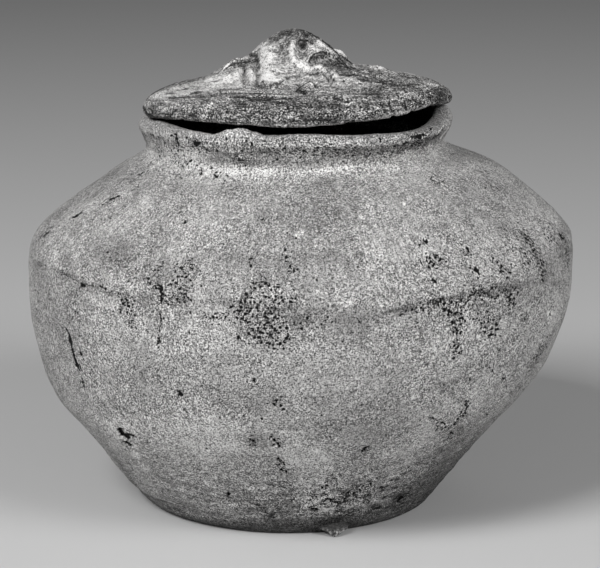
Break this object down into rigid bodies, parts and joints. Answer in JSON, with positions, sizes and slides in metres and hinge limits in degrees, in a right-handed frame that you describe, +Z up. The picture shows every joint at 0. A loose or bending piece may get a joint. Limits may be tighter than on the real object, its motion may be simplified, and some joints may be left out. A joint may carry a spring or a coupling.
{
  "type": "covered vase",
  "caption": "Squat wide-shouldered earthenware jar with a short rolled neck and a loose shallow lid carrying low hill-shaped relief.",
  "frame": {"origin": "on the floor under the middle of the jar's belly, at the underside of the foot", "axes": "+Z up along the jar; the front seen in the picture faces -Y, with +X to its right"},
  "size_m": [0.2555, 0.2554, 0.2225],
  "materials": {
    "jar_clay": "unglazed, weathered, slightly rough",
    "foot_clay": "unglazed, darker and worn",
    "lip_clay": "unglazed, weathered, slightly rough",
    "lid_clay": "unglazed, darker, streaked",
    "relief_clay": "unglazed, rubbed pale on the high places",
    "glassy_drip": "glossy run-off bead"
  },
  "bodies": {
    "jar": {"base_slab": "foot_clay", "lower_wall": "jar_clay", "upper_wall": "jar_clay", "neck_rim": "lip_clay", "rim_lump": "lip_clay", "foot_drip": "glassy_drip"},
    "lid": {"lid_plate": "lid_clay", "lid_summit": "relief_clay", "lid_peak_left": "relief_clay", "lid_peak_right": "relief_clay", "lid_peak_front_right": "relief_clay", "lid_peak_back_left": "relief_clay", "lid_peak_back_right": "relief_clay"}
  },
  "joints": [
    {"name": "lid_lift", "type": "slide", "parent": "jar", "child": "lid", "axis": [0, 0, 1], "range_m": [0, 0.12]}
  ]
}
